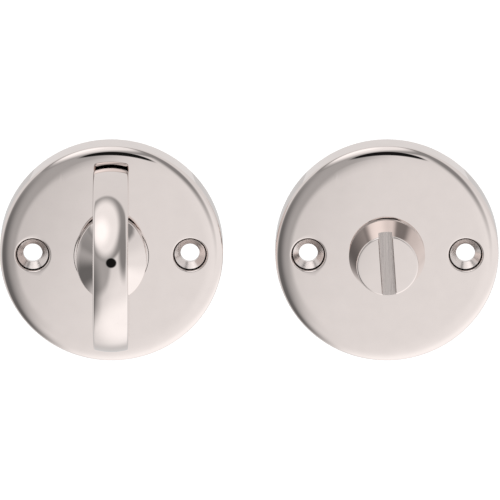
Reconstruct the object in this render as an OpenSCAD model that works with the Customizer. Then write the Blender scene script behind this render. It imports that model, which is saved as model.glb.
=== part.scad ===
// Bathroom turn and release set: two round roses side by side, one with a half-moon thumbturn and
// a square spindle, one with a coin-slot release. The roses' backs lie on the door face, y = 0,
// their faces look along -Y, and Z is up. The origin is on the turn's axis.

/* [Rose] */
// Diameter of each rose
rose_d = 54; // [48:0.5:66]
// Thickness of a rose from the door face to its own face
rose_t = 7.7; // [7.2:0.1:10]
// Width of the rounded front edge, seen from the front
rose_edge_w = 4.2; // [2:0.1:5]
// Depth of the rounded front edge
rose_edge_drop = 1.6; // [0.6:0.1:2.2]
// Thickness of the front wall over the hollow back
rose_wall_t = 3.2; // [2.8:0.1:3.3]
// Width of the rim that stands on the door
rose_rim_w = 3; // [2:0.1:4]
// Space between the two roses
rose_gap = 12.6; // [5:0.2:60]

/* [Screw holes] */
// Distance between the two screw holes of a rose
screw_spacing = 38; // [31:0.5:42]
// Diameter of the hole for the screw's shank
screw_hole_d = 4.6; // [3.6:0.1:5.4]
// Diameter of the countersink under its lip
countersink_d = 8.1; // [7:0.1:9.4]
// Depth of the countersink's cone
countersink_depth = 1.7; // [1.2:0.1:2]
// Width and depth of the small lip round the countersink
lip_w = 0.4; // [0.1:0.05:0.5]
// Wall of the pillar behind each screw hole
pillar_wall = 1.5; // [1:0.1:2.5]
// Space round the screw inside its pillar
pillar_clear = 1.6; // [1:0.1:2]

/* [Release boss] */
// Diameter of the release's boss at its foot
boss_foot_d = 18.4; // [15.4:0.1:22]
// Diameter of the boss at its front
boss_front_d = 14.9; // [12:0.1:16]
// Height of the boss in front of the collar
boss_h = 8.4; // [6:0.1:12]
// Radius of the boss's front edge
boss_edge_r = 0.5; // [0.2:0.1:1]
// Chamfer at the foot of the boss
boss_foot_chamfer = 0.15; // [0.05:0.05:0.4]

/* [Turn boss] */
// Width of the oval boss across the half-moon
oval_w = 17.1; // [15:0.1:20.5]
// Radius of the oval's two long sides
oval_side_r = 12.5; // [10:0.1:20]
// Length of the oval boss along the half-moon
oval_len = 20.6; // [18:0.1:24]
// Height of the oval's side wall in front of the collar
oval_h = 2.8; // [1.5:0.1:4]
// Slope of the boss's front, which rises towards the half-moon
oval_slope = 25; // [10:1:40]

/* [Collar and bearing] */
// Height of the collar in front of the rose
collar_h = 1.2; // [0.8:0.1:2]
// Step from the boss's foot in to the collar's edge
collar_step = 0.1; // [0:0.05:0.4]
// Wall of the collar's sleeve
sleeve_wall = 1; // [0.8:0.1:1.5]
// Wall of the nylon bush
bush_wall = 1; // [0.8:0.1:1.5]
// Diameter of the hub that turns in the bush
hub_d = 9.9; // [9:0.1:12]
// Radial clearance of the running and sliding fits
running_clear = 0.05; // [0.02:0.01:0.1]
// Radial clearance of pieces that are fixed in each other
seat_clear = 0.01; // [0.005:0.005:0.02]
// End play in front of and behind the collar
end_play = 0.1; // [0.05:0.05:0.2]

/* [Thumbturn] */
// Length of the half-moon from tip to tip
moon_len = 45.6; // [36:0.2:52]
// Thickness of the half-moon plate
moon_t = 8.5; // [5:0.1:10]
// Space between the half-moon's flat edge and the rose
moon_clear = 2.4; // [1.8:0.1:4]
// Height of the crown across the half-moon's rim
moon_crown = 0.5; // [0.2:0.05:0.8]
// Radius of the half-moon's long edges
moon_edge_r = 0.6; // [0.3:0.05:1]
// Bevel on the half-moon's two tips
moon_tip = 0.6; // [0.3:0.1:1.5]

/* [Coin slot] */
// Width of the coin slot
slot_w = 3.3; // [2:0.1:4]
// Depth of the coin slot
slot_depth = 2.4; // [1.5:0.1:3]
// Lean of the slot from upright, anticlockwise
slot_lean = 4; // [0:0.5:10]

/* [Spindle] */
// Side of the square spindle
spindle_w = 5; // [4:0.1:5.4]
// Reach of the spindle behind the door face
spindle_reach = 55; // [30:1:90]
// Chamfer along the spindle's edges
spindle_chamfer = 0.3; // [0.1:0.05:0.6]
// Clearance on each side of the spindle in the release's socket
socket_clear = 0.1; // [0.05:0.01:0.15]
// Metal between the end of the spindle or socket and the front of the boss
boss_cap = 4.6; // [4.2:0.1:6]
// Diameter of the pin through hub and spindle
pin_d = 1.5; // [1:0.1:1.8]

/* [Washers and stop] */
// Thickness of the thrust washer
thrust_t = 0.5; // [0.3:0.05:0.6]
// Thickness of the disc spring's sheet
spring_t = 0.3; // [0.2:0.05:0.35]
// Height of the disc spring as fitted
spring_h = 0.55; // [0.4:0.05:0.6]
// Width of the washers' rings round the hub
washer_w = 2.4; // [1.8:0.1:3]
// Thickness of the stop washer
stop_t = 0.9; // [0.6:0.05:1]
// Width of the stop washer's tab and of the lugs it meets
tab_w = 3; // [2:0.1:4]
// Reach of the tab and lugs past the stop washer's ring
tab_reach = 2; // [1.5:0.1:3]
// Space left between tab and lug at each end of the turn
stop_gap = 0.4; // [0.2:0.05:0.8]
// Depth of each flat on the hub
hub_flat = 0.7; // [0.4:0.05:0.9]
// Thickness of the circlip
clip_t = 0.6; // [0.4:0.05:0.7]
// Depth of the circlip's groove in the hub
clip_groove = 0.7; // [0.4:0.05:0.9]
// Width of the circlip's ring
clip_w = 1.7; // [1.2:0.1:2.2]
// Opening of the circlip in degrees
clip_opening = 70; // [40:5:100]
// Length of the hub behind the circlip
hub_tail = 0.7; // [0.5:0.1:1]

/* [Hidden] */
$fn = 96;
eps = 0.01;
// How far cuts run past the surfaces they open
over = 1;
far = 100;
arc_steps = 6;
edge_steps = 12;

nickel = "#d8cdc6";
steel = "#9a9a9c";
spring_steel = "#5b5d61";
nylon = "#ecebe4";

quarter = 90;
release_x = rose_d + rose_gap;

// Radii, from the hub outwards
hub_r = hub_d / 2;
bush_inner_r = hub_r + running_clear;
bush_outer_r = bush_inner_r + bush_wall;
sleeve_inner_r = bush_outer_r + seat_clear;
sleeve_outer_r = sleeve_inner_r + sleeve_wall;
rose_bore_r = sleeve_outer_r + seat_clear;
collar_r = boss_foot_d / 2 - collar_step;
washer_inner_r = hub_r + running_clear;
washer_outer_r = washer_inner_r + washer_w;

// Heights in front of the door face, from the back of the rose to the front of the boss
wall_back = rose_t - rose_wall_t;
thrust_back = wall_back - thrust_t;
spring_back = thrust_back - spring_h;
stop_front = spring_back - end_play;
stop_back = stop_front - stop_t;
clip_back = stop_back - clip_t;
hub_back = clip_back - hub_tail;
collar_front = rose_t + collar_h;
boss_back = collar_front + end_play;
boss_front = collar_front + boss_h;
oval_peak = collar_front + oval_h + oval_w / 2 * tan(oval_slope);
spindle_front = boss_front - boss_cap;
pin_z = (wall_back + collar_front) / 2;

// The half-moon: the front half of a disc whose middle lies on the flat edge
moon_r = moon_len / 2;
moon_back = rose_t + moon_clear;

// The stop: the tab travels between two lugs on the back of the rose
tab_end_r = washer_outer_r + tab_reach;
lug_inner_r = washer_outer_r + stop_gap;
lug_step = 2 * asin((tab_w + stop_gap) / (2 * lug_inner_r));
tab_high = quarter + quarter / 2;
tab_low = quarter - quarter / 2;

// Puts what is drawn facing +Z onto the door, facing -Y, on the axis at x
module on_door(x) {
    translate([x, 0, 0]) rotate([90, 0, 0]) children();
}

// A flat ring between two heights
module ring(outer_r, inner_r, low, high) {
    translate([0, 0, low]) linear_extrude(high - low) difference() {
        circle(outer_r);
        circle(inner_r);
    }
}

// A square bar with chamfered edges between two heights
module square_bar(side, chamfer, low, high) {
    flat = side / 2 - chamfer;
    half = side / 2;
    translate([0, 0, low]) linear_extrude(high - low) polygon([
        [half, flat], [flat, half], [-flat, half], [-half, flat],
        [-half, -flat], [-flat, -half], [flat, -half], [half, -flat]
    ]);
}

// The body of a rose: a disc with an elliptical front edge and a hollow back
module rose_shell() {
    inner_r = rose_d / 2 - rose_rim_w;
    edge_start = rose_d / 2 - rose_edge_w;
    side_top = rose_t - rose_edge_drop;
    rotate_extrude() polygon([
        [0, rose_t],
        for (step = [0:edge_steps]) let (turn = quarter * step / edge_steps)
            [edge_start + rose_edge_w * sin(turn), side_top + rose_edge_drop * cos(turn)],
        [rose_d / 2, 0], [inner_r, 0], [inner_r, wall_back], [0, wall_back]
    ]);
}

// What is cut for one screw: shank hole, cone and lip
module screw_cut() {
    shank_r = screw_hole_d / 2;
    cone_r = countersink_d / 2;
    rotate_extrude() polygon([
        [0, -eps], [shank_r, -eps], [shank_r, rose_t - lip_w - countersink_depth],
        [cone_r, rose_t - lip_w], [cone_r + lip_w, rose_t], [cone_r + lip_w, rose_t + over],
        [0, rose_t + over]
    ]);
}

// A rose: shell, screw pillars and stop lugs, with the centre bore and the screw holes cut
module rose() {
    pillar_inner_r = screw_hole_d / 2 + pillar_clear;
    difference() {
        union() {
            rose_shell();
            for (side = [-1, 1]) translate([side * screw_spacing / 2, 0, 0])
                cylinder(r = pillar_inner_r + pillar_wall, h = wall_back + eps);
            for (angle = [tab_high + lug_step, tab_low - lug_step]) rotate(angle)
                translate([lug_inner_r, -tab_w / 2, stop_back])
                    cube([tab_reach, tab_w, wall_back - stop_back + eps]);
        }
        translate([0, 0, -eps]) cylinder(r = rose_bore_r, h = rose_t + over);
        for (side = [-1, 1]) translate([side * screw_spacing / 2, 0, 0]) {
            translate([0, 0, -eps]) cylinder(r = pillar_inner_r, h = wall_back + eps);
            screw_cut();
        }
    }
}

// A collar: a visible flange with a sleeve set in the rose's bore
module collar() {
    chamfer = boss_foot_chamfer;
    rotate_extrude() polygon([
        [sleeve_inner_r, wall_back], [sleeve_outer_r, wall_back], [sleeve_outer_r, rose_t],
        [collar_r, rose_t], [collar_r, collar_front - chamfer], [collar_r - chamfer, collar_front],
        [sleeve_inner_r, collar_front]
    ]);
}

module bush() {
    ring(bush_outer_r, bush_inner_r, wall_back, collar_front);
}

module thrust_washer() {
    ring(washer_outer_r, washer_inner_r, thrust_back, wall_back);
}

// A disc spring: a shallow cone of sheet that bears at its inner and outer edges
module spring_washer() {
    rotate_extrude() polygon([
        [washer_inner_r, spring_back], [washer_outer_r, thrust_back - spring_t],
        [washer_outer_r, thrust_back], [washer_inner_r, spring_back + spring_t]
    ]);
}

// The hub's outline behind the bush: a circle with two flats
module keyed_circle(radius, flat_half) {
    intersection() {
        circle(radius);
        square([2 * flat_half, 4 * radius], center = true);
    }
}

// The stop washer, keyed to the hub, with its tab at an angle
module stop_washer(angle) {
    translate([0, 0, stop_back]) linear_extrude(stop_t) difference() {
        union() {
            circle(washer_outer_r);
            rotate(angle) translate([0, -tab_w / 2]) square([tab_end_r, tab_w]);
        }
        keyed_circle(hub_r + running_clear, hub_r - hub_flat + running_clear);
    }
}

// An open ring that sits in the hub's groove
module circlip() {
    groove_r = hub_r - clip_groove + seat_clear;
    half = clip_opening / 2;
    translate([0, 0, clip_back]) linear_extrude(clip_t) difference() {
        circle(groove_r + clip_w);
        circle(groove_r);
        polygon([[0, 0], [far * sin(half), -far * cos(half)], [-far * sin(half), -far * cos(half)]]);
    }
}

// The release's boss: a cone with a chamfered foot and a rounded front edge
module release_boss() {
    foot_r = boss_foot_d / 2;
    front_r = boss_front_d / 2;
    slope = atan((foot_r - front_r) / boss_h);
    arc_z = boss_front - boss_edge_r;
    arc_r = front_r + boss_edge_r * tan(slope) - boss_edge_r / cos(slope);
    rotate_extrude() polygon([
        [0, boss_back], [foot_r - boss_foot_chamfer, boss_back],
        [foot_r, boss_back + boss_foot_chamfer],
        for (step = [0:arc_steps]) let (turn = slope + (quarter - slope) * step / arc_steps)
            [arc_r + boss_edge_r * cos(turn), arc_z + boss_edge_r * sin(turn)],
        [0, boss_front]
    ]);
}

// The turn's boss: an oval prism under a shallow cone
module turn_boss() {
    side_x = oval_side_r - oval_w / 2;
    cone_h = oval_peak - boss_back;
    translate([0, 0, boss_back]) intersection() {
        linear_extrude(cone_h + over) intersection() {
            translate([side_x, 0]) circle(oval_side_r);
            translate([-side_x, 0]) circle(oval_side_r);
            circle(oval_len / 2);
        }
        cylinder(r1 = cone_h / tan(oval_slope), r2 = 0, h = cone_h);
    }
}

// The hub: turns in the bush, then carries the flats and the circlip's groove
module hub() {
    translate([0, 0, stop_front]) cylinder(r = hub_r, h = boss_back - stop_front + eps);
    translate([0, 0, hub_back]) linear_extrude(stop_front - hub_back)
        keyed_circle(hub_r, hub_r - hub_flat);
}

module clip_groove_cut() {
    ring(hub_r + over, hub_r - clip_groove, clip_back - seat_clear, stop_back);
}

// Half the thickness of the half-moon's crowned rim, as a section to turn about the disc's axis
module moon_section() {
    half = moon_t / 2;
    edge = moon_edge_r;
    shoulder = moon_r - moon_crown;
    chord = half - edge;
    crown_r = (chord * chord + moon_crown * moon_crown) / (2 * moon_crown);
    translate([0, -half]) square([shoulder - edge, moon_t]);
    translate([0, -chord]) square([shoulder, 2 * chord]);
    for (side = [-1, 1]) translate([shoulder - edge, side * chord]) circle(edge);
    intersection() {
        translate([moon_r - crown_r, 0]) circle(crown_r);
        translate([shoulder / 2, -chord]) square([moon_r, 2 * chord]);
    }
}

// The half-moon: half a disc with a crowned rim, turned about X, its tips cut off at 45 degrees
module half_moon() {
    tip_cut = (moon_r - moon_tip) / sqrt(2);
    translate([0, 0, moon_back]) difference() {
        rotate([0, 90, 0]) rotate(90) rotate_extrude(angle = 180) intersection() {
            moon_section();
            translate([0, -far]) square([far, 2 * far]);
        }
        for (side = [0, 1]) mirror([0, side, 0]) rotate([-45, 0, 0])
            translate([-moon_t, tip_cut, -far]) cube([2 * moon_t, far, 2 * far]);
    }
}

module thumbturn_solid() {
    hole_w = spindle_w + 2 * seat_clear;
    difference() {
        union() {
            turn_boss();
            hub();
            half_moon();
        }
        square_bar(hole_w, spindle_chamfer, hub_back - over, spindle_front);
        clip_groove_cut();
        translate([0, 0, pin_z]) rotate([0, 90, 0])
            cylinder(r = pin_d / 2 + seat_clear, h = 2 * (hub_r + over), center = true);
    }
}

module release_solid() {
    socket_w = spindle_w + 2 * socket_clear;
    difference() {
        union() {
            release_boss();
            hub();
        }
        square_bar(socket_w, eps, hub_back - over, spindle_front);
        clip_groove_cut();
        translate([-slot_w / 2, -boss_foot_d, boss_front - slot_depth])
            cube([slot_w, 2 * boss_foot_d, slot_depth + over]);
    }
}

module turn_rose() {
    color(nickel) on_door(0) rose();
}

module turn_collar() {
    color(nickel) on_door(0) collar();
}

module turn_bush() {
    color(nylon) on_door(0) bush();
}

module turn_thrust_washer() {
    color(nylon) on_door(0) thrust_washer();
}

module turn_spring_washer() {
    color(spring_steel) on_door(0) spring_washer();
}

module turn_stop_washer() {
    color(steel) on_door(0) stop_washer(tab_high);
}

module turn_circlip() {
    color(spring_steel) on_door(0) circlip();
}

module thumbturn() {
    color(nickel) on_door(0) thumbturn_solid();
}

module turn_spindle() {
    color(steel) on_door(0) difference() {
        square_bar(spindle_w, spindle_chamfer, -spindle_reach, spindle_front - running_clear);
        translate([0, 0, pin_z]) rotate([0, 90, 0])
            cylinder(r = pin_d / 2 + seat_clear, h = 2 * spindle_w, center = true);
    }
}

module spindle_pin() {
    color(spring_steel) on_door(0) translate([0, 0, pin_z]) rotate([0, 90, 0])
        cylinder(r = pin_d / 2, h = 2 * hub_r - 2 * end_play, center = true);
}

module release_rose() {
    color(nickel) on_door(release_x) rose();
}

module release_collar() {
    color(nickel) on_door(release_x) collar();
}

module release_bush() {
    color(nylon) on_door(release_x) bush();
}

module release_thrust_washer() {
    color(nylon) on_door(release_x) thrust_washer();
}

module release_spring_washer() {
    color(spring_steel) on_door(release_x) spring_washer();
}

module release_stop_washer() {
    color(steel) on_door(release_x) rotate(slot_lean) stop_washer(tab_low);
}

module release_circlip() {
    color(spring_steel) on_door(release_x) rotate(slot_lean) circlip();
}

module release_button() {
    color(nickel) on_door(release_x) rotate(slot_lean) release_solid();
}

turn_rose();
turn_collar();
turn_bush();
turn_thrust_washer();
turn_spring_washer();
turn_stop_washer();
turn_circlip();
thumbturn();
turn_spindle();
spindle_pin();
release_rose();
release_collar();
release_bush();
release_thrust_washer();
release_spring_washer();
release_stop_washer();
release_circlip();
release_button();
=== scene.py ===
"""Looks of a bathroom turn and release set in polished nickel, built round its fixed frame.

Two round roses lie side by side on a door. The left one carries a half-moon thumbturn on a square
spindle, the right one a release boss with a coin slot. Every size is in metres. A piece is worked
out in its own rose's directions, x to the right, y up and z off the door, and then set on the door.
"""

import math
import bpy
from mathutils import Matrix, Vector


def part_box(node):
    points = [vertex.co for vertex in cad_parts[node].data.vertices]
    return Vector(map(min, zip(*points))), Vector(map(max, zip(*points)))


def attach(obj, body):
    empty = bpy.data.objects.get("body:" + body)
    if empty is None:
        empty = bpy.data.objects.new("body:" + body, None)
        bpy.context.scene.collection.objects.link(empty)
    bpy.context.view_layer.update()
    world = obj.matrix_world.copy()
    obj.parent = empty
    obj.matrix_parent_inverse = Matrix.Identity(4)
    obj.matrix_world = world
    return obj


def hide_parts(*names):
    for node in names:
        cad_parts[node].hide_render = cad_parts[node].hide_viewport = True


bl_info = {
    "name": "Turn and release set",
    "version": (1, 0, 0),
    "blender": (4, 5, 0),
    "location": "View3D > Sidebar > Door set",
    "description": "Makes the roses, thumbturn, coin release, bearings and stage of the set",
    "category": "Object",
}

from collections import namedtuple

import bmesh
import bpy
import numpy as np

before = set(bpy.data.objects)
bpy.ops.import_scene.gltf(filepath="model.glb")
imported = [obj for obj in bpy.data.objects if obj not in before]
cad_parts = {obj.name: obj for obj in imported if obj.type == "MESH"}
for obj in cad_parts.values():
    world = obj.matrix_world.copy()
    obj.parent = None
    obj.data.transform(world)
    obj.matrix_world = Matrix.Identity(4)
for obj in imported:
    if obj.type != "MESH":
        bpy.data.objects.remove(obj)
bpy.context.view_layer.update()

MM = 0.001
NEARLY_NOTHING = 1e-6

# Points closer than this are one point, and edges that turn further than this are shaded sharp
WELD = 2e-7
SHARP_TURN = math.radians(28)

# Steps of one closed turn
BOSS_STEPS = 192
HUB_STEPS = 144
PILLAR_STEPS = 96

# Share of the rounded edge's width that is turned in one piece with the rose's side
TURNED_EDGE = 0.68
# Chamfer where the rose's side meets the door
DOOR_EDGE = 0.25 * MM
# How far the rounded lip turns before its groove, and where across its width the groove is deepest
LIP_TURN = math.radians(80)
GROOVE_BOTTOM = 0.4

# How far the hub runs straight into its boss, and the share of its radius left at its front
HUB_IN_BOSS = 1.2 * MM
HUB_TAPER = 0.9
# Metal before the square hole's front end
HOLE_CAP = 0.4 * MM

# Powers that blend two outlines into one: the higher the power, the sharper the corner
OVAL_SHARPNESS = 40
TIP_SHARPNESS = 160
# Half the share by which the rim's columns stand closer at its tips and its middle
CROWDING = 0.06

# The parts of a noise pattern that are spread over a finish's roughness and over its shades
MIDDLE_HALF = (0.25, 0.75)
SHADE_ENDS = (0.3, 0.7)
# Shares of a cut surface's roughness between which it wanders
CUT_SPREAD = (0.7, 1.4)

ROSE_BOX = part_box("turn_rose")
RELEASE_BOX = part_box("release_rose")
COLLAR_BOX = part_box("turn_collar")
BUSH_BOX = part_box("turn_bush")
THUMBTURN_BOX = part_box("thumbturn")
BUTTON_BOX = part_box("release_button")
STOP_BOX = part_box("turn_stop_washer")
CIRCLIP_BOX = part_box("turn_circlip")
SPINDLE_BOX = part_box("turn_spindle")
WASHER_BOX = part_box("turn_thrust_washer")

AXIS_X = {"turn": 0.0, "release": (RELEASE_BOX[0][0] + RELEASE_BOX[1][0]) / 2}
ROSE_R = (ROSE_BOX[1][0] - ROSE_BOX[0][0]) / 2
ROSE_FACE = -ROSE_BOX[0][1]
WALL_BACK = -BUSH_BOX[1][1]
COLLAR_FRONT = -COLLAR_BOX[0][1]
COLLAR_R = COLLAR_BOX[1][0]
WASHER_R = WASHER_BOX[1][0]
BUTTON_FRONT = -BUTTON_BOX[0][1]
BOSS_FOOT_R = (BUTTON_BOX[1][0] - BUTTON_BOX[0][0]) / 2
HUB_BACK = -BUTTON_BOX[1][1]
STOP_FRONT = -STOP_BOX[0][1]
STOP_BACK = -STOP_BOX[1][1]
CLIP_BACK = -CIRCLIP_BOX[1][1]
MOON_FRONT = -THUMBTURN_BOX[0][1]
SPINDLE_FRONT = -SPINDLE_BOX[0][1]
SPINDLE_HALF = SPINDLE_BOX[1][0]


def length(name, description, default):
    """A size in metres, with its name and what it is."""
    return bpy.props.FloatProperty(
        name=name, description=description, default=default, min=0.0, precision=5, unit="LENGTH"
    )


def share(name, description, default, high=1.0):
    """A plain number from nothing to its highest value, such as a roughness."""
    return bpy.props.FloatProperty(
        name=name, description=description, default=default, min=0.0, max=high, subtype="FACTOR"
    )


def angle(name, description, degrees):
    """An angle, given in degrees and kept in radians."""
    return bpy.props.FloatProperty(
        name=name, description=description, default=math.radians(degrees), unit="ROTATION"
    )


def colour(name, description, default):
    """A colour in linear red, green and blue."""
    return bpy.props.FloatVectorProperty(
        name=name, description=description, default=default, size=3, min=0.0, max=1.0,
        subtype="COLOR",
    )


class RoseSizes(bpy.types.PropertyGroup):
    """Sizes of the two roses"""

    crown: length("Crown", "How far the polished face falls from its middle to its edge", 0.35 * MM)
    edge_width: length("Edge width", "Width of the rounded edge, seen from the front", 4.2 * MM)
    edge_drop: length("Edge drop", "Depth of the rounded edge", 1.25 * MM)
    rim_width: length("Rim width", "Width of the rim that stands on the door", 3.0 * MM)
    bore: length("Bore", "Diameter of the bore that the collar's sleeve fills", 14.04 * MM)
    screw_spacing: length("Screw spacing", "Distance between the screw holes", 38.0 * MM)
    screw_hole: length("Screw hole", "Diameter of the hole for the screw's shank", 4.6 * MM)
    countersink: length("Countersink", "Diameter of the countersink under its lip", 8.1 * MM)
    countersink_depth: length("Countersink depth", "Depth of the countersink's cone", 1.7 * MM)
    lip: length("Lip", "Radius of the rounded lip round the countersink", 0.4 * MM)
    groove: length("Groove", "Width of the groove between lip and cone", 0.32 * MM)
    groove_depth: length("Groove depth", "Depth of that groove under the lip", 0.75 * MM)
    pillar: length("Pillar", "Diameter of the pillar behind a screw hole", 11.0 * MM)
    pillar_bore: length("Pillar bore", "Diameter of the pillar's own hole", 8.0 * MM)
    lug_width: length("Lug width", "Width of a stop lug", 3.0 * MM)
    lug_reach: length("Lug reach", "Length of a stop lug, outwards", 2.0 * MM)
    lug_gap: length("Lug gap", "Space between the washers' edge and a lug", 0.4 * MM)


class TurnSizes(bpy.types.PropertyGroup):
    """Sizes of the thumbturn, and of the hub and collar that the release shares"""

    foot_chamfer: length("Foot chamfer", "Chamfer at the foot of boss and collar", 0.15 * MM)
    end_play: length("End play", "Space between the collar and the boss", 0.1 * MM)
    oval_width: length("Oval width", "Width of the oval boss across the half-moon", 17.1 * MM)
    oval_side: length("Oval side", "Radius of the oval's two long sides", 12.5 * MM)
    oval_length: length("Oval length", "Length of the oval boss along the half-moon", 20.6 * MM)
    oval_height: length("Oval height", "Height of the oval's narrow sides off the collar", 2.8 * MM)
    oval_slope: angle("Oval slope", "Slope of the boss's front, down from its middle", 25.0)
    oval_edge: length("Oval edge", "Radius of the oval's front edge", 0.35 * MM)
    moon_length: length("Half-moon length", "Length of the half-moon from tip to tip", 45.6 * MM)
    moon_thickness: length("Half-moon thickness", "Thickness of the half-moon plate", 8.5 * MM)
    moon_edge: length("Half-moon edge", "Radius of the half-moon's long edges", 0.6 * MM)
    moon_tilt: angle("Rim tilt", "Tilt of the crowned rim where it meets its long edges", 14.0)
    moon_tip: length("Tip bevel", "Bevel on the half-moon's two tips", 0.6 * MM)
    tip_pinch: share("Tip pinch", "Share of the thickness that the tips lose", 0.13)
    tip_run: length("Tip run", "Distance along the rim over which the tips narrow", 3.0 * MM)
    hub: length("Hub", "Diameter of the hub that turns in the bush", 9.9 * MM)
    hub_flat: length("Hub flat", "Depth of each flat on the hub", 0.7 * MM)
    clip_groove: length("Circlip groove", "Depth of the circlip's groove", 0.7 * MM)
    spindle_gap: length("Spindle gap", "Space round the spindle in the thumbturn", 0.01 * MM)


class ReleaseSizes(bpy.types.PropertyGroup):
    """Sizes of the release boss, its coin slot and the socket behind it"""

    boss_front: length("Boss front", "Diameter of the boss at its front", 14.9 * MM)
    boss_edge: length("Boss edge", "Radius of the boss's front edge", 0.5 * MM)
    front_crown: length("Front crown", "Fall of the boss's front to its edge", 0.1 * MM)
    slot_width: length("Slot width", "Width of the coin slot", 3.3 * MM)
    slot_depth: length("Slot depth", "Depth of the coin slot", 2.4 * MM)
    slot_lean: angle("Slot lean", "Lean of the slot from upright, anticlockwise", 4.0)
    slot_edge: length("Slot edge", "Width of the broken edge along the slot", 0.12 * MM)
    socket_gap: length("Socket gap", "Space round a spindle in the socket", 0.1 * MM)


class Finishes(bpy.types.PropertyGroup):
    """Colours and polish of the set"""

    nickel: colour("Nickel", "Colour of the polished nickel", (0.80, 0.728, 0.70))
    polish: share("Polish", "Roughness of the polished nickel", 0.02)
    turned: share("Turned", "Roughness of the turned countersinks", 0.2)
    milled: share("Milled", "Roughness of the milled coin slot", 0.3)
    nylon: colour("Nylon", "Colour of the bushes and thrust washers", (0.82, 0.81, 0.76))
    zinc_steel: colour("Zinc steel", "Colour of the spindle and stop washers", (0.62, 0.63, 0.65))
    spring_steel: colour("Spring steel", "Colour of springs, circlips and pin", (0.16, 0.17, 0.19))


class StageSettings(bpy.types.PropertyGroup):
    """Camera, floor and light"""

    azimuth: angle("Azimuth", "Side that the camera looks from", 0.0)
    elevation: angle("Elevation", "Height that the camera looks down from", 16.2)
    distance: length("Distance", "Distance of the camera", 3.0)
    view_width: length("View width", "Width of what the camera sees", 120.8 * MM)
    aim_right: length("Aim", "How far right of the turn's axis the camera aims", 33.5 * MM)
    aim_up: length("Aim height", "How far above the turn's axis the camera aims", 1.3 * MM)
    floor_drop: length("Floor drop", "Depth of the floor below the axis", 250 * MM)
    floor_size: length("Floor size", "Side of the floor", 12.0)
    floor_colour: colour("Floor", "Colour of the floor", (0.93, 0.93, 0.93))
    floor_glow: share("Floor glow", "Light that the white floor gives off", 0.35)
    room: share("Room", "Brightness of the room round the lamps", 0.84, high=2.0)


SETTINGS = {
    "door_set_rose": RoseSizes,
    "door_set_turn": TurnSizes,
    "door_set_release": ReleaseSizes,
    "door_set_finish": Finishes,
    "door_set_stage": StageSettings,
}


# Surfaces


def grid_cells(rows, columns):
    """Corner numbers of the cells of a grid of points that is numbered row by row."""
    corner = np.arange(rows * columns).reshape(rows, columns)
    cell = [corner[:-1, :-1], corner[:-1, 1:], corner[1:, 1:], corner[1:, :-1]]
    return np.stack(cell, axis=-1).reshape(-1, 4)


def revolved(profile, angles):
    """A profile of (radius, height) points turned about the axis: x is the radius times the
    angle's cosine, y the radius times its sine, and z the height. A radius may differ from angle
    to angle."""
    radius = np.stack([np.broadcast_to(r, angles.shape) for r, _ in profile])
    height = np.stack([np.broadcast_to(z, angles.shape) for _, z in profile])
    return np.stack([radius * np.cos(angles), radius * np.sin(angles), height], axis=-1)


def between(start, end, steps):
    """Rows of points that run in a straight line from each point of start to its fellow of end."""
    along = np.linspace(0.0, 1.0, steps + 1).reshape((-1,) + (1,) * np.ndim(start))
    return start * (1 - along) + end * along


def flat_at(points, height):
    """Points of a plane given as x and y, put at a height."""
    return np.concatenate([points, np.full(points.shape[:-1] + (1,), height)], axis=-1)


def moved(points, right=0.0, lean=0.0):
    """Points turned anticlockwise about the axis by lean, then moved to the right."""
    x, y, z = np.moveaxis(points, -1, 0)
    turned_x = x * math.cos(lean) - y * math.sin(lean)
    turned_y = x * math.sin(lean) + y * math.cos(lean)
    return np.stack([turned_x + right, turned_y, z], axis=-1)


def full_turn(steps):
    """Angles of one closed turn, first and last at the same place."""
    return np.linspace(0.0, 2 * math.pi, steps + 1)


def make_piece(name, surfaces, axis_x, finishes):
    """One object from several grids of points. Each surface is a grid and the number of its finish.
    A point (x, y, z) of the rose goes to (axis_x + x, -z, y) on the door."""
    points, cells, finish_of, first = [], [], [], 0
    for grid, finish in surfaces:
        rows, columns = grid.shape[:2]
        x, y, z = np.moveaxis(grid.reshape(-1, 3), -1, 0)
        points.append(np.stack([axis_x + x, -z, y], axis=-1))
        cells.append(grid_cells(rows, columns) + first)
        finish_of.append(np.full(len(cells[-1]), finish))
        first += rows * columns
    mesh = bpy.data.meshes.new(name)
    mesh.from_pydata(np.concatenate(points).tolist(), [], np.concatenate(cells).tolist())
    for finish in finishes:
        mesh.materials.append(finish)
    mesh.polygons.foreach_set("material_index", np.concatenate(finish_of))
    close_seams(mesh)
    piece = bpy.data.objects.new(name, mesh)
    bpy.context.scene.collection.objects.link(piece)
    return piece


def close_seams(mesh):
    """Welds the points that grids share, drops the cells that vanish at a pole, turns every face
    outwards and shades the surface smooth except where it turns sharply."""
    work = bmesh.new()
    work.from_mesh(mesh)
    bmesh.ops.remove_doubles(work, verts=work.verts, dist=WELD)
    bmesh.ops.dissolve_degenerate(work, edges=work.edges, dist=WELD / 2)
    bmesh.ops.recalc_face_normals(work, faces=work.faces)
    work.to_mesh(mesh)
    work.free()
    mesh.polygons.foreach_set("use_smooth", np.ones(len(mesh.polygons), bool))
    mesh.set_sharp_from_angle(angle=SHARP_TURN)
    mesh.update()


def finish_piece(piece, body, slot, *nodes):
    """The piece rides on its body and stands for CAD nodes, which are hidden. The slot is not used.
    """
    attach(piece, body)
    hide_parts(*nodes)


# Roses


def face_height(radius, sizes):
    """Height of a rose's face: a shallow crown that falls with the square of the radius, then a
    quarter ellipse that rounds the edge down to the side wall."""
    start = ROSE_R - sizes.edge_width
    crown = sizes.crown * np.minimum(radius / start, 1.0) ** 2
    out = np.clip((radius - start) / sizes.edge_width, 0.0, 1.0)
    lean = 2 * sizes.crown / start * np.maximum(radius - start, 0.0) * (1 - out)
    return ROSE_FACE - crown - lean - sizes.edge_drop * (1 - np.sqrt(1 - out**2))


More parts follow.
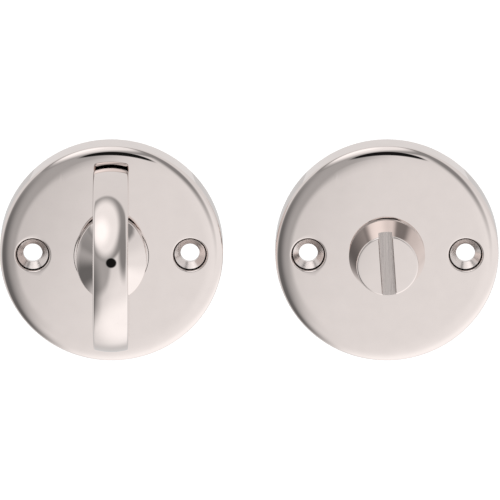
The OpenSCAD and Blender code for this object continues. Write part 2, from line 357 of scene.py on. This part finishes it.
def rose_loops(cell_r):
    """Closed outlines of the face's three parts, right, left and middle, and the angles of all the
    rose's columns. Two upright lines, which meet the face's circle at 60 degrees, divide it."""
    side_steps, middle_steps, line_steps = 84, 42, 44
    corner = math.pi / 3
    half = cell_r * math.sin(corner)
    right = np.linspace(-corner, corner, side_steps + 1)
    top = np.linspace(corner, math.pi - corner, middle_steps + 1)
    left = right + math.pi
    foot = top + math.pi
    angles = np.concatenate([right[:-1], top[:-1], left[:-1], foot])

    def arc(turns):
        return cell_r * np.stack([np.cos(turns), np.sin(turns)], axis=-1)

    line = np.linspace(half, -half, line_steps + 1)
    down = np.stack([np.full_like(line, cell_r * math.cos(corner)), line], axis=-1)
    right_loop = np.concatenate([arc(right), down[1:]])
    left_loop = np.concatenate([arc(left), -down[1:]])
    upright_left = down * [-1, 1]
    middle_loop = np.concatenate([arc(top), upright_left[1:], arc(foot)[1:], -upright_left[1:]])
    return right_loop, left_loop, middle_loop, angles


def holed_cell(loop, centre, reach, hole_r, heights):
    """The surface between an outline and a round hole: each of its lines runs straight from the
    outline to the hole's edge, in the direction of the outline's point seen from the hole.
    heights gives the height from x and y."""
    ring = centre + hole_r * reach
    flat = between(loop, ring, 14)
    return np.concatenate([flat, heights(flat)[..., None]], axis=-1)


def directions(loop, centre):
    """Unit directions from a hole's centre to an outline's points."""
    away = loop - centre
    return away / np.linalg.norm(away, axis=-1, keepdims=True)


def rose_surfaces(sizes):
    """Every surface of a rose: the turned side and edge, the face and the back of the front wall in
    three parts round their holes, the holes themselves, the screw pillars and the stop lugs."""
    cell_r = ROSE_R - TURNED_EDGE * sizes.edge_width
    inner_r = ROSE_R - sizes.rim_width
    right_loop, left_loop, middle_loop, angles = rose_loops(cell_r)
    screw_x = sizes.screw_spacing / 2
    lip_r = sizes.countersink / 2 + sizes.lip
    shank_r = sizes.screw_hole / 2
    cone_back = ROSE_FACE - sizes.lip - sizes.countersink_depth

    outward = np.linspace(0.0, math.pi / 2, 40)
    edge_radii = ROSE_R - (ROSE_R - cell_r) * (1 - np.sin(outward))
    profile = [(r, face_height(r, sizes)) for r in edge_radii]
    profile += [(ROSE_R, DOOR_EDGE), (ROSE_R - DOOR_EDGE, 0.0), (inner_r, 0.0)]
    profile += [(inner_r, WALL_BACK)]
    surfaces = [(revolved(profile, angles), 0)]

    def face(points):
        return face_height(np.linalg.norm(points, axis=-1), sizes)

    def back(points):
        return np.full(points.shape[:-1], WALL_BACK)

    bore_r = sizes.bore / 2
    for loop, centre, hole_r in (
        (right_loop, np.array([screw_x, 0.0]), lip_r),
        (left_loop, np.array([-screw_x, 0.0]), lip_r),
        (middle_loop, np.zeros(2), bore_r),
    ):
        reach = directions(loop, centre)
        rim_height = face(centre + hole_r * reach)[:, None]
        surfaces.append((holed_cell(loop, centre, reach, hole_r, face), 0))
        back_r = bore_r if loop is middle_loop else shank_r
        surfaces.append((holed_cell(loop * inner_r / cell_r, centre, reach, back_r, back), 0))
        back_ring = flat_at(centre + back_r * reach, WALL_BACK)

        def ring(inset, sink):
            return np.concatenate([centre + (hole_r - inset) * reach, rim_height - sink], axis=-1)

        if loop is middle_loop:
            surfaces.append((between(ring(0.0, 0.0), back_ring, 1), 0))
            continue
        turns = np.linspace(0.0, LIP_TURN, 8)
        lip = [ring(sizes.lip * math.sin(t), sizes.lip * (1 - math.cos(t))) for t in turns]
        bottom = sizes.lip + sizes.groove * GROOVE_BOTTOM
        groove = ring(bottom, sizes.lip + sizes.groove_depth)
        cone_front = ring(sizes.lip + sizes.groove, sizes.lip + sizes.groove)
        throat_ring = flat_at(centre + shank_r * reach, cone_back)
        surfaces.append((np.stack(lip), 0))
        # The groove under the lip takes the third finish, which has painted shade
        surfaces.append((np.stack([lip[-1], groove, cone_front]), 2))
        surfaces.append((between(cone_front, throat_ring, 6), 1))
        surfaces.append((between(throat_ring, back_ring, 1), 1))
        pillar = [
            (sizes.pillar / 2, 0.0), (sizes.pillar / 2, WALL_BACK + sizes.lip),
            (sizes.pillar_bore / 2, WALL_BACK + sizes.lip), (sizes.pillar_bore / 2, 0.0),
            (sizes.pillar / 2, 0.0),
        ]
        surfaces.append((moved(revolved(pillar, full_turn(PILLAR_STEPS)), right=centre[0]), 0))
    return surfaces


def lug_surfaces(sizes, turn):
    """A stop lug behind the front wall: a plain block that stands outside the washers, at an
    angle."""
    near = WASHER_R + sizes.lug_gap
    half = sizes.lug_width / 2
    x = np.array([near, near + sizes.lug_reach])
    outline = np.array([[x[0], -half], [x[1], -half], [x[1], half], [x[0], half], [x[0], -half]])
    middle = np.repeat([[x.mean(), 0.0]], len(outline), axis=0)
    low = STOP_BACK
    high = WALL_BACK + sizes.lip
    rings = [(middle, low), (outline, low), (outline, high), (middle, high)]
    block = np.stack([flat_at(points, height) for points, height in rings])
    return [(moved(block, lean=turn), 0)]


# Collars, bosses and hubs


def collar_surfaces(sizes, bore_r, sleeve_r):
    """A collar: one profile of flange and sleeve turned about the axis, closed by the chamfer at
    its front edge, which is one side of the groove before the boss."""
    chamfer = sizes.foot_chamfer
    edge = [(COLLAR_R, COLLAR_FRONT - chamfer), (COLLAR_R - chamfer, COLLAR_FRONT)]
    profile = [
        edge[1], (bore_r, COLLAR_FRONT), (bore_r, WALL_BACK), (sleeve_r, WALL_BACK),
        (sleeve_r, ROSE_FACE), (COLLAR_R, ROSE_FACE), edge[0],
    ]
    angles = full_turn(BOSS_STEPS)
    # The front chamfer takes the second finish, which has painted shade for the gap before the boss
    return [(revolved(profile, angles), 0), (revolved(edge, angles), 1)]


def release_profile(sizes, release):
    """The release's boss from its foot to its front: a chamfer, a straight cone and a round edge
    that starts square to the cone, as (radius, height) points."""
    back = COLLAR_FRONT + sizes.end_play
    front_r = release.boss_front / 2
    edge = release.boss_edge
    slope = math.atan((BOSS_FOOT_R - front_r) / (BUTTON_FRONT - COLLAR_FRONT))
    centre_r = front_r + edge * math.tan(slope) - edge / math.cos(slope)
    turns = np.linspace(slope, math.pi / 2, 13)
    foot = [(BOSS_FOOT_R - sizes.foot_chamfer, back), (BOSS_FOOT_R, back + sizes.foot_chamfer)]
    centre_z = BUTTON_FRONT - release.front_crown - edge
    round_edge = [(centre_r + edge * math.cos(t), centre_z + edge * math.sin(t)) for t in turns]
    cone = between(np.array(foot[-1]), np.array(round_edge[0]), 8)[1:-1]
    return np.concatenate([foot, cone, round_edge])


def hub_surface(sizes, hole_half, hole_front):
    """The hub as one closed shell. Each angle has its own outer radius, where a flat cuts the
    circle, and its own inner radius, the square hole's side in that direction."""
    angles = full_turn(HUB_STEPS)
    hub_r = sizes.hub / 2
    flat = (hub_r - sizes.hub_flat) / np.maximum(np.abs(np.cos(angles)), NEARLY_NOTHING)
    keyed = np.minimum(hub_r, flat)
    groove = np.minimum(hub_r - sizes.clip_groove, keyed)
    hole = hole_half / np.maximum(np.abs(np.cos(angles)), np.abs(np.sin(angles)))
    front = COLLAR_FRONT + HUB_IN_BOSS
    cap = hole_front + HOLE_CAP
    profile = [
        (0.0, hole_front), (hole, hole_front), (hole, HUB_BACK), (keyed, HUB_BACK),
        (keyed, CLIP_BACK), (groove, CLIP_BACK), (groove, STOP_BACK), (keyed, STOP_BACK),
        (keyed, STOP_FRONT), (hub_r, STOP_FRONT), (hub_r, front), (hub_r * HUB_TAPER, cap),
        (0.0, cap),
    ]
    return revolved(profile, angles)


# Thumbturn


def oval_reach(angles, sizes):
    """Distance from the axis to the oval boss's outline in each direction: two arcs whose centres
    lie on opposite sides of the half-moon, rounded into a circle at the ends."""
    offset = sizes.oval_side - sizes.oval_width / 2
    across = np.abs(np.cos(angles))
    arcs = np.sqrt(sizes.oval_side**2 - offset**2 * (1 - across**2)) - offset * across
    ends = sizes.oval_length / 2
    return (arcs**-OVAL_SHARPNESS + ends**-OVAL_SHARPNESS) ** (-1 / OVAL_SHARPNESS)


def oval_boss_surface(sizes):
    """The oval boss: an upright wall along its outline, a round edge, and a front that is a shallow
    cone about the axis, so that the edge lies lower where the outline reaches further."""
    angles = full_turn(BOSS_STEPS)
    reach = oval_reach(angles, sizes)
    slope, edge, chamfer = sizes.oval_slope, sizes.oval_edge, sizes.foot_chamfer
    back = COLLAR_FRONT + sizes.end_play
    rise = math.tan(slope)
    peak = COLLAR_FRONT + sizes.oval_height + sizes.oval_width / 2 * rise
    centre_r = reach - edge
    centre_z = peak - centre_r * rise - edge / math.cos(slope)
    profile = [(0.0, back), (reach - chamfer, back), (reach, back + chamfer)]
    for turn in np.linspace(0.0, math.pi / 2 - slope, 9):
        profile.append((centre_r + edge * math.cos(turn), centre_z + edge * math.sin(turn)))
    brim = profile[-1][0]
    for part in np.linspace(1.0, 0.0, 11)[1:]:
        profile.append((brim * part, peak - brim * part * rise))
    return revolved(profile, angles)


def moon_section(sizes):
    """Half of the rim's section from one face to the other, as the distance across and the fall
    below the rim's highest line: a parabola that reaches its tilt where the round edge begins."""
    half = sizes.moon_thickness / 2
    edge = sizes.moon_edge
    tilt = sizes.moon_tilt
    crown_half = half - edge * (1 - math.sin(tilt))
    crown = crown_half * math.tan(tilt) / 2
    across = np.linspace(-crown_half, crown_half, 41)
    fall = crown * (across / crown_half) ** 2
    turns = np.linspace(tilt, math.pi / 2, 9)[1:]
    edge_across = half - edge + edge * np.sin(turns)
    edge_fall = crown + edge * (math.cos(tilt) - np.cos(turns))
    across = np.concatenate([-edge_across[::-1], across, edge_across])
    fall = np.concatenate([edge_fall[::-1], fall, edge_fall])
    return across, fall


def half_moon_surfaces(sizes):
    """The half-moon plate. Its rim is the section carried round half a turn, and each tip is cut
    back softly along a 45 degree line and pinched. Its two sides run from the rim straight back to
    the flat edge, and the flat edge is a grid between them."""
    radius = sizes.moon_length / 2
    back = MOON_FRONT - radius
    across, fall = moon_section(sizes)
    even = np.linspace(0.0, 1.0, 181)
    turns = math.pi * (even - CROWDING * np.sin(4 * math.pi * even) / (2 * math.pi))
    from_tip = np.minimum(turns, math.pi - turns)
    line = (radius - sizes.moon_tip) / np.maximum(np.cos(from_tip) - np.sin(from_tip), 1e-3)
    reach = (radius**-TIP_SHARPNESS + line**-TIP_SHARPNESS) ** (-1 / TIP_SHARPNESS)
    run = np.clip(from_tip * radius / sizes.tip_run, 0.0, 1.0)
    width = 1 - sizes.tip_pinch * (1 - run) ** 2
    x = across[None, :] * width[:, None]
    distance = reach[:, None] - fall[None, :]
    y = distance * np.cos(turns)[:, None]
    z = back + distance * np.sin(turns)[:, None]
    rim = np.stack([x, y, z], axis=-1)
    surfaces = [(rim, 0)]
    for column in (0, -1):
        edge_line = rim[:, column]
        foot_line = edge_line * [1, 1, 0] + [0, 0, back]
        surfaces.append((between(edge_line, foot_line, 10), 0))
    flat = np.stack([x, np.repeat(y[:, :1], len(across), axis=1), np.full_like(x, back)], axis=-1)
    surfaces.append((np.concatenate([rim[:1], flat, rim[-1:]]), 0))
    return surfaces


# Release button


def slotted_boss_surfaces(sizes, release):
    """The release's boss. Below the slot's floor it is turned about the axis. Above it stand two
    cheeks: at each height a cheek's outside is the arc that the slot's side cuts off, its front is
    filled between that arc and the slot's edge, and its wall is flat."""
    outline = release_profile(sizes, release)
    half = release.slot_width / 2
    floor = BUTTON_FRONT - release.slot_depth
    floor_r = float(np.interp(floor, outline[1:, 1], outline[1:, 0]))
    below = [(r, z) for r, z in outline if z < floor - NEARLY_NOTHING] + [(floor_r, floor)]
    higher = [(r, z) for r, z in outline if z > floor + NEARLY_NOTHING]
    above = np.array([(floor_r, floor)] + higher)
    spread = np.sin(np.linspace(-math.pi / 2, math.pi / 2, 57))
    break_w = release.slot_edge

    across = np.linspace(half, -half, 17)
    end_angles = np.arccos(across / floor_r)
    side_angle = end_angles[0]
    side = side_angle * spread
    half_turn = [side[:-1], end_angles[:-1]]
    columns = np.concatenate(half_turn + [(math.pi + side)[:-1], math.pi + end_angles])
    foot_ring = [(0.0, outline[0, 1])]
    surfaces = [(revolved(foot_ring + below, columns), 0)]

    radius, height = above[:, :1], above[:, 1:]
    cut = np.arccos(half / radius) * spread
    heights = np.repeat(height, len(spread), axis=1)
    outside = np.stack([radius * np.cos(cut), radius * np.sin(cut), heights], axis=-1)
    along = np.sqrt(radius**2 - half**2) * spread
    wall = np.stack([np.full_like(along, half), along, heights], axis=-1)
    wall[-1, :, 2] -= break_w
    lip = wall[-1] + [break_w, 0.0, break_w]
    front = between(outside[-1], lip, 12)
    middle = 1 - (np.linalg.norm(front[..., :2], axis=-1) / radius[-1]) ** 2
    front[..., 2] += release.front_crown * middle
    lip, wall_top = front[-1], wall[-1]
    for turn in (0.0, math.pi):
        surfaces.append((moved(outside, lean=turn), 0))
        surfaces.append((moved(front, lean=turn), 0))
        surfaces.append((moved(np.stack([lip, wall_top]), lean=turn), 0))
        surfaces.append((moved(wall, lean=turn), 1))
    floor_along = np.sqrt(floor_r**2 - across[:, None] ** 2) * spread
    floor_x = np.repeat(across[:, None], len(spread), axis=1)
    floor_grid = np.stack([floor_x, floor_along, np.full_like(floor_x, floor)], axis=-1)
    surfaces.append((floor_grid, 1))
    return surfaces


# Finishes


def new_finish(name):
    """A material with its node tree, its surface shader and its Object coordinates."""
    material = bpy.data.materials.new(name)
    material.use_nodes = True
    tree = material.node_tree
    shader = tree.nodes["Principled BSDF"]
    place = tree.nodes.new("ShaderNodeTexCoord").outputs["Object"]
    return material, tree, shader, place


def noise(tree, place, scale, detail=3.0, stretch=(1, 1, 1), turn=0.0):
    """Noise over the surface, drawn out along an axis by a small stretch and turned about y."""
    mapping = tree.nodes.new("ShaderNodeMapping")
    mapping.inputs["Scale"].default_value = stretch
    mapping.inputs["Rotation"].default_value = (0.0, turn, 0.0)
    tree.links.new(place, mapping.inputs["Vector"])
    node = tree.nodes.new("ShaderNodeTexNoise")
    node.inputs["Scale"].default_value = scale
    node.inputs["Detail"].default_value = detail
    tree.links.new(mapping.outputs["Vector"], node.inputs["Vector"])
    return node.outputs["Fac"]


def spread_to(tree, value, low, high):
    """The pattern's middle half spread between two numbers."""
    node = tree.nodes.new("ShaderNodeMapRange")
    node.inputs["From Min"].default_value = MIDDLE_HALF[0]
    node.inputs["From Max"].default_value = MIDDLE_HALF[1]
    node.inputs["To Min"].default_value = low
    node.inputs["To Max"].default_value = high
    tree.links.new(value, node.inputs["Value"])
    return node.outputs["Result"]


def shades(tree, value, base, dark, light):
    """A colour that wanders between a darker and a lighter shade of itself."""
    ramp = tree.nodes.new("ShaderNodeValToRGB")
    first, last = ramp.color_ramp.elements
    first.position, last.position = SHADE_ENDS
    first.color = [min(1.0, c * dark) for c in base] + [1.0]
    last.color = [min(1.0, c * light) for c in base] + [1.0]
    tree.links.new(value, ramp.inputs["Fac"])
    return ramp.outputs["Color"]


def bump(tree, value, shader, depth):
    """Fine relief of the given depth in metres."""
    node = tree.nodes.new("ShaderNodeBump")
    node.inputs["Strength"].default_value = 1.0
    node.inputs["Distance"].default_value = depth
    tree.links.new(value, node.inputs["Height"])
    tree.links.new(node.outputs["Normal"], shader.inputs["Normal"])


def mirror_nickel(finish):
    """Mirror-polished nickel plate with a faint haze that wanders over it."""
    material, tree, shader, place = new_finish("mirror_nickel")
    shader.inputs["Metallic"].default_value = 1.0
    haze = noise(tree, place, 260.0)
    tree.links.new(shades(tree, haze, finish.nickel, 0.985, 1.012), shader.inputs["Base Color"])
    wipe = noise(tree, place, 900.0, stretch=(1, 1, 0.15), turn=0.5)
    rough = spread_to(tree, wipe, finish.polish * 0.6, finish.polish * 1.5)
    tree.links.new(rough, shader.inputs["Roughness"])
    return material


def turned_nickel(finish):
    """Plated countersink with the fine rings that the tool left."""
    material, tree, shader, place = new_finish("turned_nickel")
    shader.inputs["Metallic"].default_value = 1.0
    rings = noise(tree, place, 3000.0, stretch=(0.2, 1, 0.2))
    tree.links.new(shades(tree, rings, finish.nickel, 0.9, 1.02), shader.inputs["Base Color"])
    rough = spread_to(tree, rings, *(finish.turned * part for part in CUT_SPREAD))
    tree.links.new(rough, shader.inputs["Roughness"])
    bump(tree, rings, shader, 0.02 * MM)
    return material


def painted_shade_nickel(finish):
    """Plating in the narrow grooves with painted shade: its colour is darkened to stand in for the
    shade in the grooves and gaps.
    """
    material, tree, shader, place = new_finish("painted_shade_nickel")
    shader.inputs["Metallic"].default_value = 1.0
    groove_noise = noise(tree, place, 2500.0)
    # Painted shade: the nickel is made nearly black where the grooves lie in shade
    tree.links.new(shades(tree, groove_noise, finish.nickel, 0.06, 0.2), shader.inputs["Base Color"])
    tree.links.new(spread_to(tree, groove_noise, 0.35, 0.6), shader.inputs["Roughness"])
    bump(tree, groove_noise, shader, 0.01 * MM)
    return material


def milled_nickel(finish, lean):
    """Plated slot with lengthwise milling marks."""
    material, tree, shader, place = new_finish("milled_nickel")
    shader.inputs["Metallic"].default_value = 1.0
    marks = noise(tree, place, 6000.0, detail=4.0, stretch=(1, 1, 0.02), turn=-lean)
    tree.links.new(shades(tree, marks, finish.nickel, 0.66, 0.96), shader.inputs["Base Color"])
    rough = spread_to(tree, marks, *(finish.milled * part for part in CUT_SPREAD))
    tree.links.new(rough, shader.inputs["Roughness"])
    bump(tree, marks, shader, 0.03 * MM)
    return material


def moulded_nylon(finish):
    """White nylon, faintly translucent and matt."""
    material, tree, shader, place = new_finish("moulded_nylon")
    grain = noise(tree, place, 1500.0)
    tree.links.new(shades(tree, grain, finish.nylon, 0.94, 1.03), shader.inputs["Base Color"])
    tree.links.new(spread_to(tree, grain, 0.35, 0.55), shader.inputs["Roughness"])
    shader.inputs["Subsurface Weight"].default_value = 0.1
    shader.inputs["Subsurface Scale"].default_value = MM
    bump(tree, grain, shader, 0.01 * MM)
    return material


def zinc_plated_steel(finish):
    """Zinc-plated steel, satin with drawing marks along the spindle."""
    material, tree, shader, place = new_finish("zinc_plated_steel")
    shader.inputs["Metallic"].default_value = 1.0
    marks = noise(tree, place, 3500.0, stretch=(1, 0.03, 1))
    cloud = noise(tree, place, 180.0)
    tree.links.new(shades(tree, cloud, finish.zinc_steel, 0.86, 1.06), shader.inputs["Base Color"])
    tree.links.new(spread_to(tree, marks, 0.25, 0.45), shader.inputs["Roughness"])
    bump(tree, marks, shader, 0.02 * MM)
    return material


def dark_spring_steel(finish):
    """Oiled dark spring steel."""
    material, tree, shader, place = new_finish("dark_spring_steel")
    shader.inputs["Metallic"].default_value = 0.9
    film = noise(tree, place, 700.0)
    tree.links.new(shades(tree, film, finish.spring_steel, 0.8, 1.25), shader.inputs["Base Color"])
    tree.links.new(spread_to(tree, film, 0.28, 0.5), shader.inputs["Roughness"])
    return material


def finish_named(name, maker, *values):
    """The finish of this name, made once."""
    return bpy.data.materials.get(name) or maker(*values)


# Stage

Lamp = namedtuple("Lamp", "up side up_reach side_reach soft light")


def math_step(tree, operation, *values):
    """One arithmetic step on links or numbers."""
    node = tree.nodes.new("ShaderNodeMath")
    node.operation = operation
    for socket, value in zip(node.inputs, values):
        if isinstance(value, (int, float)):
            socket.default_value = value
        else:
            tree.links.new(value, socket)
    return node.outputs[0]


def lamp_cover(tree, up, side, lamp):
    """1 inside a lamp's ellipse and 0 outside, with an edge as soft as the lamp's own share."""
    squares = []
    for seen, middle, reach in ((up, lamp.up, lamp.up_reach), (side, lamp.side, lamp.side_reach)):
        away = math_step(tree, "DIVIDE", math_step(tree, "SUBTRACT", seen, middle), reach)
        squares.append(math_step(tree, "POWER", away, 2.0))
    both = math_step(tree, "ADD", *squares)
    node = tree.nodes.new("ShaderNodeMapRange")
    node.interpolation_type = "SMOOTHSTEP"
    node.inputs["From Min"].default_value = 1 + lamp.soft
    node.inputs["From Max"].default_value = 1 - lamp.soft
    tree.links.new(math_step(tree, "SQRT", both), node.inputs["Value"])
    return node.outputs["Result"]


def studio_world(settings, lamps):
    """A soft studio all round. A direction has an up angle, from straight ahead of the roses over
    the top to the back, and a side angle, to the left or right of that. Each lamp, screen or dark
    curtain is an ellipse of both, in degrees, and is laid over the ones before it."""
    world = bpy.data.worlds.new("studio")
    world.use_nodes = True
    tree = world.node_tree
    background = tree.nodes["Background"]
    split = tree.nodes.new("ShaderNodeSeparateXYZ")
    tree.links.new(tree.nodes.new("ShaderNodeTexCoord").outputs["Generated"], split.inputs[0])
    x, y, z = split.outputs
    forward = math_step(tree, "MULTIPLY", y, -1.0)
    up = math_step(tree, "DEGREES", math_step(tree, "ARCTAN2", z, forward))
    side = math_step(tree, "DEGREES", math_step(tree, "ARCSINE", x))
    light = None
    for lamp in lamps:
        mix = tree.nodes.new("ShaderNodeMix")
        mix.inputs["A"].default_value = settings.room
        mix.inputs["B"].default_value = lamp.light
        tree.links.new(lamp_cover(tree, up, side, lamp), mix.inputs["Factor"])
        if light is not None:
            tree.links.new(light, mix.inputs["A"])
        light = mix.outputs["Result"]
    seen = tree.nodes.new("ShaderNodeLightPath").outputs["Is Camera Ray"]
    shown = tree.nodes.new("ShaderNodeMix")
    shown.inputs["B"].default_value = 1.0
    tree.links.new(seen, shown.inputs["Factor"])
    tree.links.new(light, shown.inputs["A"])
    tree.links.new(shown.outputs["Result"], background.inputs["Strength"])
    background.inputs["Color"].default_value = (1.0, 1.0, 1.0, 1.0)
    bpy.context.scene.world = world


def pale_floor(settings):
    """A wide white floor below the set. It lights the set softly but isn't mirrored in it."""
    half = settings.floor_size / 2
    corner = half * np.array([[-1, -1], [1, -1], [1, 1], [-1, 1]])
    mesh = bpy.data.meshes.new("floor")
    mesh.from_pydata(flat_at(corner, -settings.floor_drop).tolist(), [], [(0, 1, 2, 3)])
    floor = bpy.data.objects.new("floor", mesh)
    bpy.context.scene.collection.objects.link(floor)
    material = bpy.data.materials.new("pale_floor")
    material.use_nodes = True
    shader = material.node_tree.nodes["Principled BSDF"]
    shader.inputs["Base Color"].default_value = (*settings.floor_colour, 1.0)
    shader.inputs["Roughness"].default_value = 0.9
    shader.inputs["Emission Color"].default_value = (1.0, 1.0, 1.0, 1.0)
    shader.inputs["Emission Strength"].default_value = settings.floor_glow
    mesh.materials.append(material)
    floor.visible_glossy = False


def place_camera(settings):
    """A long lens far in front, aimed between the roses."""
    camera = bpy.data.objects.new("camera", bpy.data.cameras.new("camera"))
    bpy.context.scene.collection.objects.link(camera)
    side, up = settings.azimuth, settings.elevation
    back = np.array([math.sin(side) * math.cos(up), -math.cos(side) * math.cos(up), math.sin(up)])
    aim = np.array([settings.aim_right, -ROSE_FACE, settings.aim_up])
    camera.location = aim + back * settings.distance
    camera.rotation_euler = (math.pi / 2 - up, 0.0, side)
    camera.data.lens = camera.data.sensor_width * settings.distance / settings.view_width
    camera.data.clip_end = settings.distance + settings.floor_size
    bpy.context.scene.camera = camera
    bpy.context.scene.view_settings.view_transform = "Standard"


# Operators


class DOORSET_OT_roses(bpy.types.Operator):
    """Make the two roses with their crowned faces, countersinks, screw pillars and stop lugs"""

    bl_idname = "door_set.roses"
    bl_label = "Roses"

    def execute(self, context):
        scene = context.scene
        sizes = scene.door_set_rose
        finish = scene.door_set_finish
        finishes = [
            finish_named("mirror_nickel", mirror_nickel, finish),
            finish_named("turned_nickel", turned_nickel, finish),
            # The last finish has painted shade in its colour, for the grooves
            finish_named("painted_shade_nickel", painted_shade_nickel, finish),
        ]
        near = WASHER_R + sizes.lug_gap
        quarter = math.pi / 2
        step = 2 * math.asin((sizes.lug_width + sizes.lug_gap) / (2 * near))
        for name, axis_x in AXIS_X.items():
            surfaces = rose_surfaces(sizes)
            for turn in (1.5 * quarter + step, quarter / 2 - step):
                surfaces += lug_surfaces(sizes, turn)
            rose = make_piece(f"{name}_rose_polished", surfaces, axis_x, finishes)
            finish_piece(rose, "roses", "polished_nickel", f"{name}_rose")
        return {"FINISHED"}


class DOORSET_OT_collars(bpy.types.Operator):
    """Make the polished collars round the two bosses"""

    bl_idname = "door_set.collars"
    bl_label = "Collars"

    def execute(self, context):
        scene = context.scene
        sizes = scene.door_set_turn
        finish = scene.door_set_finish
        finishes = [
            finish_named("mirror_nickel", mirror_nickel, finish),
            # The second finish has painted shade in its colour, for the gap at the chamfer
            finish_named("painted_shade_nickel", painted_shade_nickel, finish),
        ]
        bore_r = BUSH_BOX[1][0]
        sleeve_r = scene.door_set_rose.bore / 2
        for name, axis_x in AXIS_X.items():
            surfaces = collar_surfaces(sizes, bore_r, sleeve_r)
            collar = make_piece(f"{name}_collar_polished", surfaces, axis_x, finishes)
            finish_piece(collar, "roses", "polished_nickel", f"{name}_collar")
        return {"FINISHED"}


class DOORSET_OT_thumbturn(bpy.types.Operator):
    """Make the half-moon thumbturn with its boss and hub"""

    bl_idname = "door_set.thumbturn"
    bl_label = "Thumbturn"

    def execute(self, context):
        scene = context.scene
        sizes = scene.door_set_turn
        nickel = finish_named("mirror_nickel", mirror_nickel, scene.door_set_finish)
        surfaces = [(oval_boss_surface(sizes), 0)] + half_moon_surfaces(sizes)
        hole_half = SPINDLE_HALF + sizes.spindle_gap
        surfaces.append((hub_surface(sizes, hole_half, SPINDLE_FRONT), 0))
        turn = make_piece("thumbturn_polished", surfaces, AXIS_X["turn"], [nickel])
        finish_piece(turn, "turn", "polished_nickel", "thumbturn")
        return {"FINISHED"}


class DOORSET_OT_release(bpy.types.Operator):
    """Make the release boss with its coin slot and square socket"""

    bl_idname = "door_set.release"
    bl_label = "Coin release"

    def execute(self, context):
        scene = context.scene
        sizes = scene.door_set_turn
        release = scene.door_set_release
        finishes = [
            finish_named("mirror_nickel", mirror_nickel, scene.door_set_finish),
            finish_named("milled_nickel", milled_nickel, scene.door_set_finish, release.slot_lean),
        ]
        surfaces = slotted_boss_surfaces(sizes, release)
        hole_half = SPINDLE_HALF + release.socket_gap
        surfaces.append((hub_surface(sizes, hole_half, SPINDLE_FRONT), 0))
        surfaces = [(moved(grid, lean=release.slot_lean), finish) for grid, finish in surfaces]
        button = make_piece("release_button_polished", surfaces, AXIS_X["release"], finishes)
        finish_piece(button, "release", "polished_nickel", "release_button")
        return {"FINISHED"}


class DOORSET_OT_bearings(bpy.types.Operator):
    """Give the bushes, washers, circlips, spindle and pin their own finishes"""

    bl_idname = "door_set.bearings"
    bl_label = "Bearings and spindle"

    def execute(self, context):
        finish = context.scene.door_set_finish
        nylon = finish_named("moulded_nylon", moulded_nylon, finish)
        zinc = finish_named("zinc_plated_steel", zinc_plated_steel, finish)
        spring = finish_named("dark_spring_steel", dark_spring_steel, finish)
        parts = {
            "bush": nylon, "thrust_washer": nylon, "spring_washer": spring,
            "stop_washer": zinc, "circlip": spring,
        }
        for side in AXIS_X:
            for part, material in parts.items():
                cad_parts[f"{side}_{part}"].data.materials[0] = material
        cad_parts["turn_spindle"].data.materials[0] = zinc
        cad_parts["spindle_pin"].data.materials[0] = spring
        return {"FINISHED"}


class DOORSET_OT_stage(bpy.types.Operator):
    """Make the pale floor, the soft studio light and the camera"""

    bl_idname = "door_set.stage"
    bl_label = "Stage"

    def execute(self, context):
        settings = context.scene.door_set_stage
        pale_floor(settings)
        studio_world(settings, [
            Lamp(up=-75, side=35, up_reach=80, side_reach=47, soft=0.22, light=1.0),
            Lamp(up=-75, side=25, up_reach=35, side_reach=40, soft=0.4, light=1.22),
            Lamp(up=12, side=-24, up_reach=44, side_reach=24, soft=0.18, light=0.46),
            Lamp(up=-37, side=-36, up_reach=50, side_reach=16, soft=0.6, light=0.16),
            Lamp(up=55, side=-8, up_reach=43, side_reach=34, soft=0.06, light=0.33),
            Lamp(up=55, side=-9, up_reach=37, side_reach=23, soft=0.22, light=1.05),
            Lamp(up=50, side=-16, up_reach=16, side_reach=12, soft=0.6, light=1.35),
            Lamp(up=24, side=23, up_reach=32, side_reach=8, soft=0.5, light=0.28),
            Lamp(up=10, side=1, up_reach=6, side_reach=9.5, soft=0.15, light=0.01),
            Lamp(up=-155, side=0, up_reach=34, side_reach=70, soft=0.3, light=0.68),
        ])
        place_camera(settings)
        return {"FINISHED"}


STEPS = (
    DOORSET_OT_roses, DOORSET_OT_collars, DOORSET_OT_thumbturn, DOORSET_OT_release,
    DOORSET_OT_bearings, DOORSET_OT_stage,
)


class DOORSET_PT_panel(bpy.types.Panel):
    """Lists the set's sizes, finishes and steps"""

    bl_idname = "DOORSET_PT_panel"
    bl_label = "Turn and release set"
    bl_space_type = "VIEW_3D"
    bl_region_type = "UI"
    bl_category = "Door set"

    def draw(self, context):
        for setting, group in SETTINGS.items():
            box = self.layout.box()
            box.label(text=group.__doc__)
            for name in group.__annotations__:
                box.prop(getattr(context.scene, setting), name)
        for step in STEPS:
            self.layout.operator(step.bl_idname)


def register():
    """Registers the settings, the steps and the panel."""
    for setting, group in SETTINGS.items():
        bpy.utils.register_class(group)
        setattr(bpy.types.Scene, setting, bpy.props.PointerProperty(type=group))
    for step in STEPS:
        bpy.utils.register_class(step)
    bpy.utils.register_class(DOORSET_PT_panel)


def unregister():
    """Takes the panel, the steps and the settings away again."""
    bpy.utils.unregister_class(DOORSET_PT_panel)
    for step in reversed(STEPS):
        bpy.utils.unregister_class(step)
    for setting, group in reversed(SETTINGS.items()):
        delattr(bpy.types.Scene, setting)
        bpy.utils.unregister_class(group)


def main():
    """Makes every piece and the stage."""
    register()
    bpy.ops.door_set.roses()
    bpy.ops.door_set.collars()
    bpy.ops.door_set.thumbturn()
    bpy.ops.door_set.release()
    bpy.ops.door_set.bearings()
    bpy.ops.door_set.stage()


if __name__ == "__main__":
    main()
